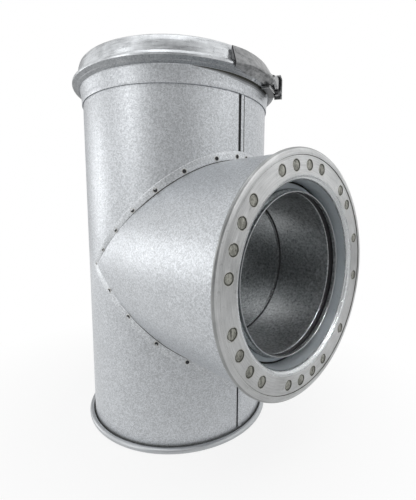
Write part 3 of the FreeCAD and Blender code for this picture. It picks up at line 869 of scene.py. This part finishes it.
# Liner socket of the branch
SOCKET_BORE = 51.7
BEAD_REACH = 120.0
BEAD_HEIGHT = 2.4


def socket_slot(radius, reach):
    """Painted shade in the step round the stub and in the hollow of the bead."""
    bead = SOCKET_BORE + 0.25 + max(0.0, BEAD_HEIGHT - 1.2 * abs(reach - BEAD_REACH))
    in_step = 73.8 < reach < 75.15 and radius < SOCKET_BORE + 0.05
    in_bead = abs(reach - BEAD_REACH) < 1.5 and radius < bead
    return 1 if in_step or in_bead else 0


def socket():
    """Liner socket with a rounded lip, a stop bead and the neck over the stub."""
    shape = Shape()
    neck = 50.8
    outline = [(SOCKET_BORE, 124.3), (SOCKET_BORE, BEAD_REACH + 2.0), (SOCKET_BORE + BEAD_HEIGHT, BEAD_REACH),
               (SOCKET_BORE, BEAD_REACH - 2.0), (SOCKET_BORE, 75.0), (neck, 74.0), (neck, 63.0)]
    section = ribbon(fillet(outline, [0.8, 1.2, 0.8, 0.4, 0.4], 6), 0.5)
    shape.lathe(section, place=branchwise, slot_of=socket_slot)
    lip = arc((SOCKET_BORE + 0.25, 124.2), 0.38, 0, 337.5, 15)
    shape.lathe(lip, place=branchwise, slot=2)
    piece("socket", shape, [liner_steel, painted_deep_shade, lip_metal], stands_for="branch_liner",
          weld=False)


# Cover lever of the lock, as radius and height about the main axis
COVER_SHEET = 1.0
TIP_OUTLINE = [(78.65, 273.1), (82.75, 270.8), (83.45, 269.9), (79.3, 280.3), (78.4, 280.3)]
END_INNER_OUTLINE = [(78.1, 281.4), (78.6, 274.4), (82.9, 272.4), (82.9, 267.6)]
END_ROUNDING = [0.4, 1.6, 0.4, 0.2, 0.3, 0.3, 0.3]
END_SIZES = ((21.4, 1.0), (21.75, 0.99), (22.0, 0.965), (22.2, 0.925), (22.33, 0.87), (LEVER_END, 0.80))
NOSE_START = [(82.9, 266.7), (84.6, 268.25), (86.42, 269.8), (84.55, 272.85), (83.1, 275.2), (82.7, 275.2)]
NOSE_END = [(83.5, 265.7), (86.6, 265.9), (86.95, 267.0), (86.95, 273.6), (86.6, 274.6), (83.5, 274.7)]
NOSE_AZIMUTH = 20.6
NOSE_LENGTH = 6.0
COVER_PLAIN, COVER_SHADE, COVER_NOSE_HIGHLIGHT = range(3)


def cover_path(narrow):
    """Bent section of the cover, from the full one at 0 to that of the tip at 1."""
    foot = (81.4 + 1.85 * narrow, 265.6 + 1.6 * narrow)
    fold = (86.4 - 2.2 * narrow, 269.8 - 0.3 * narrow)
    top = (78.6 + 1.3 * narrow, 282.4 - 1.4 * narrow)
    return [foot, fold, top]


def around(section, azimuth):
    """Section of radii and heights, set at an azimuth about the main axis."""
    return [upright(point.x, azimuth, point.y) for point in section]


def cover_sheet(shape):
    """Bent sheet of the cover, which widens from the tip, with painted shade on its thin edge there."""
    edge = 0.12
    stations = [LEVER_START]
    stations += between(LEVER_START + edge, LEVER_FULL, 12)
    stations += between(LEVER_FULL, LEVER_WALL + 0.1, 24)[1:]
    rows = []
    for azimuth in stations:
        narrow = max(0.0, (LEVER_FULL - azimuth) / (LEVER_FULL - LEVER_START))
        path = fillet(cover_path(narrow), 1.6, 8)
        loop = ribbon(path, COVER_SHEET)
        if azimuth == LEVER_START:
            loop = [(point + other) / 2 for point, other in zip(loop, ribbon(path, 0.8))]
        rows.append(around(loop, azimuth))
    shape.loft(rows, first_cap=COVER_SHADE, slots=[COVER_SHADE] + [COVER_PLAIN] * (len(rows) - 2))


def cover_ends(shape):
    """Closed tip, and a domed wall at the hinge end."""
    tip = fillet(TIP_OUTLINE, 0.3, 3, closed=True)
    shape.loft([around(tip, LEVER_START + 0.15), around(tip, LEVER_START + 0.7)])
    wall = fillet(cover_path(0.0) + END_INNER_OUTLINE, END_ROUNDING, 6, closed=True)
    middle = Vector((82.2, 272.6))
    shape.loft([around([middle + (point - middle) * size for point in wall], azimuth)
                for azimuth, size in END_SIZES])


def cover_nose(shape):
    """Block between the cover and the hinge, which changes from the one outline to the other; painted light
    as a highlight, with painted shade on its far end.
    """
    steps = 12
    rows = []
    for step in range(steps + 1):
        part = step / steps
        mix = min(1.0, part * 1.6)
        mix = mix * mix * (3 - 2 * mix)
        size = 1.0 - 0.10 * max(0.0, part - 0.85) / 0.15
        corners = [Vector(a) + (Vector(b) - Vector(a)) * mix for a, b in zip(NOSE_START, NOSE_END)]
        centre = sum(corners, Vector((0, 0))) / len(corners)
        section = fillet([centre + (corner - centre) * size for corner in corners], 0.5, 4, closed=True)
        rows.append(around(section, NOSE_AZIMUTH + NOSE_LENGTH * part))
    shape.loft(rows, COVER_NOSE_HIGHLIGHT, COVER_NOSE_HIGHLIGHT, COVER_SHADE)


def cover_hinge(shape):
    """Barrel round the hinge's axis, and the leaf that joins it to the cover, both in painted shade."""
    centre = upright(HINGE_RADIUS, HINGE_AZIMUTH, 0)
    outline = [(0.001, 265.4), (1.9, 265.4), (1.9, 274.9), (0.001, 274.9)]
    rows = [[centre + Vector((point[0] * math.cos(turn), point[0] * math.sin(turn), point[1]))
             for turn in circle(36)] for point in fillet(outline, 0.3, 4)]
    shape.rings(rows, closed_loop=False, slot=COVER_SHADE)
    shape.sector(84.0, HINGE_RADIUS, 265.8, 274.5, LEVER_WALL, HINGE_AZIMUTH, slot=COVER_SHADE)


def cover_lever():
    shape = Shape()
    cover_sheet(shape)
    cover_ends(shape)
    cover_nose(shape)
    cover_hinge(shape)
    # Ear inside the cover that holds the post
    shape.sector(78.55, 82.0, 275.2, 276.1, 17.0, LEVER_END)
    piece("cover_lever", shape, [latch_metal, painted_deep_shade, latch_painted_highlight], body="lever", stands_for="clamp_lever",
          weld=False)


# Bracket of the lock
BRACKET_HOLLOW_SHADE, BRACKET_BORDER_HIGHLIGHT, BRACKET_SHADE = 1, 2, 3


def bracket():
    """Bracket round the hinge, in painted shade inside, with the bordered flange under the cover in painted
    shade and its border as a painted highlight.
    """
    shape = Shape()
    wall = 1.0
    inner, outer = 82.6, 88.6
    foot, top = 262.2, 276.3
    start, end = 26.0, 33.5
    shelf = (263.9, 265.0)
    flange = (78.0, 84.4)
    flange_start = 16.5
    border = (263.4, 265.05)
    # End wall, outer face, ear above the hinge and inner wall
    shape.sector(inner, outer, foot, top, 32.7, end, 0.15)
    shape.sector(outer - wall, outer, foot, top, 30.5, end, 0.2)
    shape.sector(inner, outer, top - wall, top, start, end, 0.2)
    shape.sector(inner, inner + wall, shelf[1], 271.0, 30.0, end, 0.15)
    # Shelf below the hinge, and the flange, in painted shade, with its border as a painted highlight
    shape.sector(inner, outer, *shelf, start, end, 0.2, BRACKET_SHADE)
    shape.sector(*flange, *shelf, flange_start, end, 0.2, BRACKET_SHADE)
    shape.sector(flange[1] - 0.8, flange[1], *border, flange_start, start, 0.15, BRACKET_BORDER_HIGHLIGHT)
    shape.sector(*flange, *border, flange_start, flange_start + 0.55, 0.15, BRACKET_BORDER_HIGHLIGHT)
    # Painted shade: a near-black lining of the end wall, where the hollow lies in shadow
    shape.sector(83.7, 87.55, border[1], 275.25, 32.6, 32.72, 0.02, BRACKET_HOLLOW_SHADE)
    piece("bracket", shape, [latch_metal, painted_deep_shade, latch_painted_highlight, latch_painted_shade], stands_for="hinge_bracket",
          weld=False)


# Solids that keep their own form
def dress(name, material, bevel=0.0):
    """Give a solid its material, and soft edges where a bevel width is given."""
    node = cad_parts[name]
    for slot in node.material_slots:
        slot.material = material
    if bevel:
        edge = node.modifiers.new("soft_edges", "BEVEL")
        edge.width = bevel * MM
        edge.segments = 2
        edge.limit_method = "ANGLE"
        edge.angle_limit = math.radians(40)


# Camera: its place in metres, the picture in pixels of the photograph, the sensor in millimetres
EYE = Vector((0.23843, -0.17549, 0.17411))
FORWARD = Vector((-0.7263024, 0.6768635, -0.1197526))
UP = Vector((-0.0907815, 0.0782353, 0.9927930))
PICTURE_WIDTH = 416
FOCAL_LENGTH = 327.427
CENTRE_SHIFT = -8.0
SENSOR_WIDTH = 36.0


def aim_camera():
    forward = FORWARD.normalized()
    right = forward.cross(UP).normalized()
    up = right.cross(forward)
    data = bpy.data.cameras.new("camera")
    data.sensor_fit = "HORIZONTAL"
    data.sensor_width = SENSOR_WIDTH
    data.lens = SENSOR_WIDTH * FOCAL_LENGTH / PICTURE_WIDTH
    data.shift_x = CENTRE_SHIFT / PICTURE_WIDTH
    data.clip_start = 0.01
    camera = add_object("camera", data)
    turn = Matrix((right, up, -forward)).transposed()
    camera.matrix_world = Matrix.Translation(EYE) @ turn.to_4x4()
    scene.camera = camera


# Studio, in metres; azimuths run from +X toward +Y
SUBJECT = (0.02, 0, 0.13)
WHITE = (1, 1, 1, 1)


def toward(azimuth, elevation):
    """Unit vector in a direction."""
    a = math.radians(azimuth)
    e = math.radians(elevation)
    return Vector((math.cos(a) * math.cos(e), math.sin(a) * math.cos(e), math.sin(e)))


def seen_directly(tree):
    """1 for camera, glossy and transmitted rays."""
    path = put(tree, "LightPath").outputs
    first = calculate(tree, "MAXIMUM", path["Is Camera Ray"], path["Is Glossy Ray"])
    return calculate(tree, "MAXIMUM", first, path["Is Transmission Ray"])


def mixed_shader(tree, share, first, second):
    return put(tree, "MixShader", {0: share, 1: first.outputs[0], 2: second.outputs[0]}).outputs[0]


def studio_world():
    """White where it is seen or mirrored, and soft light everywhere else."""
    world = bpy.data.worlds.new("studio")
    world.use_nodes = True
    tree = world.node_tree
    tree.nodes.clear()
    light = put(tree, "Background", {"Color": WHITE, "Strength": 0.55})
    white = put(tree, "Background", {"Color": WHITE, "Strength": 1.0})
    finish_surface(tree, mixed_shader(tree, seen_directly(tree), light, white), "OutputWorld")
    scene.world = world


def floor_glow(tree, place):
    """Share and level of the floor's own white: even to the eye, but dimmer in some reflections."""
    distance = length(tree, place)
    far = spread(tree, distance, 0.84, 1.0, floor=0.10, ceiling=0.26)
    # Painted shade seen only in reflections: the floor is dimmer near the part on its front side, standing in
    # for its shadow, and dimmer still toward +Y
    near = spread(tree, along(tree, place, (0.906, -0.423, 0)), 1.0, 0.58, floor=0.04, ceiling=0.17)
    distant = spread(tree, distance, 0.45, 1.0, floor=0.30, ceiling=0.90)
    either = calculate(tree, "MAXIMUM", near, distant)
    dim = spread(tree, along(tree, place, (0.34, 0.94, 0)), 1.0, 0.28, floor=0.42, ceiling=0.85)
    mirrored = calculate(tree, "MULTIPLY", either, dim)
    glossy = put(tree, "LightPath").outputs["Is Glossy Ray"]
    level = put(tree, "Mix", {0: glossy, 2: 1.0, 3: mirrored}, data_type="FLOAT").outputs[0]
    share = put(tree, "Mix", {0: glossy, 2: far, 3: 0.8}, data_type="FLOAT").outputs[0]
    return calculate(tree, "MULTIPLY", share, seen_directly(tree)), level


def card(name, centre, side, rise):
    """Flat rectangle; side and rise run from its middle to its edges."""
    mesh = bpy.data.meshes.new(name)
    corners = [centre + side * x + rise * y for x, y in ((-1, -1), (1, -1), (1, 1), (-1, 1))]
    mesh.from_pydata(corners, [], [(0, 1, 2, 3)])
    return add_object(name, mesh)


def floor():
    """White paper that keeps the shadow near the part and is pure white farther off."""
    item = card("floor", Vector((0, 0, 0)), Vector((6, 0, 0)), Vector((0, 6, 0)))
    material, tree, place = new_material("floor_white")
    colour = tint(tree, noise(tree, place, 4.0), dark=(0.90,) * 3, light=(0.93,) * 3)
    share, level = floor_glow(tree, place)
    paper = put(tree, "BsdfDiffuse", {"Color": colour})
    glow = put(tree, "Emission", {"Color": WHITE, "Strength": level})
    finish_surface(tree, mixed_shader(tree, share, paper, glow))
    item.data.materials.append(material)


def lamp(name, azimuth, elevation, distance, width, height, power, target=SUBJECT, beam=180):
    """Soft rectangular lamp at a distance from its target, which it faces."""
    data = bpy.data.lights.new(name, "AREA")
    data.shape = "RECTANGLE"
    data.size = width
    data.size_y = height
    data.energy = power
    data.spread = math.radians(beam)
    item = add_object(name, data)
    way = toward(azimuth, elevation)
    item.location = Vector(target) + way * distance
    item.rotation_euler = way.to_track_quat("Z", "Y").to_euler()


def flag(name, azimuth, elevation, distance, width, height, grey):
    """Dim card that only reflections see, as the dark side of a studio."""
    way = toward(azimuth, elevation)
    side = Vector((0, 0, 1)).cross(way).normalized() * width / 2
    rise = way.cross(side).normalized() * height / 2
    item = card(name, Vector(SUBJECT) + way * distance, side, rise)
    material, tree, place = new_material(name)
    colour = tint(tree, noise(tree, place, 5.0), dark=(grey * 0.9,) * 3, light=(grey * 1.1,) * 3)
    glow = put(tree, "Emission", {"Color": colour, "Strength": 1.0})
    finish_surface(tree, glow.outputs[0])
    item.data.materials.append(material)
    for kind in ("camera", "diffuse", "shadow", "transmission"):
        setattr(item, "visible_" + kind, False)


# The part
main_pipe()
branch_pipe()
clinch_points()
bottom_rim()
top_ring()
collar()
band()
branch_ring()
socket()
cover_lever()
bracket()

for pin in ("hinge_pin", "claw_pin", "link_pin"):
    dress(pin, pin_metal)
for lock_piece in ("clamp_link", "anchor_bracket"):
    dress(lock_piece, latch_metal, bevel=0.15)
dress("main_liner", liner_steel)
for end in ("top", "bottom", "branch"):
    dress(end + "_closing_ring", throat_metal)
    dress(end + "_centring_clips", liner_steel)
for pipe in ("main", "branch"):
    dress(pipe + "_insulation", mineral)

# The picture
aim_camera()
studio_world()
floor()
lamp("left_box", -141, 6, 1.3, width=0.40, height=0.52, power=1.35)
lamp("side_box", -92, 22, 1.3, width=0.22, height=0.5, power=1.1)
lamp("top_box", -60, 75, 1.5, width=1.0, height=1.0, power=4)
lamp("right_box", 26, 30, 1.4, width=0.25, height=0.5, power=0.55)
lamp("inner_box", 5, 32, 0.7, width=0.06, height=0.06, power=0.018, target=(0.09, 0.01, 0.112), beam=12)
flag("camera_side", -40, 8, 1.2, width=1.3, height=1.6, grey=0.42)
flag("left_edge", 178, 12, 1.2, width=0.7, height=1.6, grey=0.45)

scene.view_settings.view_transform = "Standard"
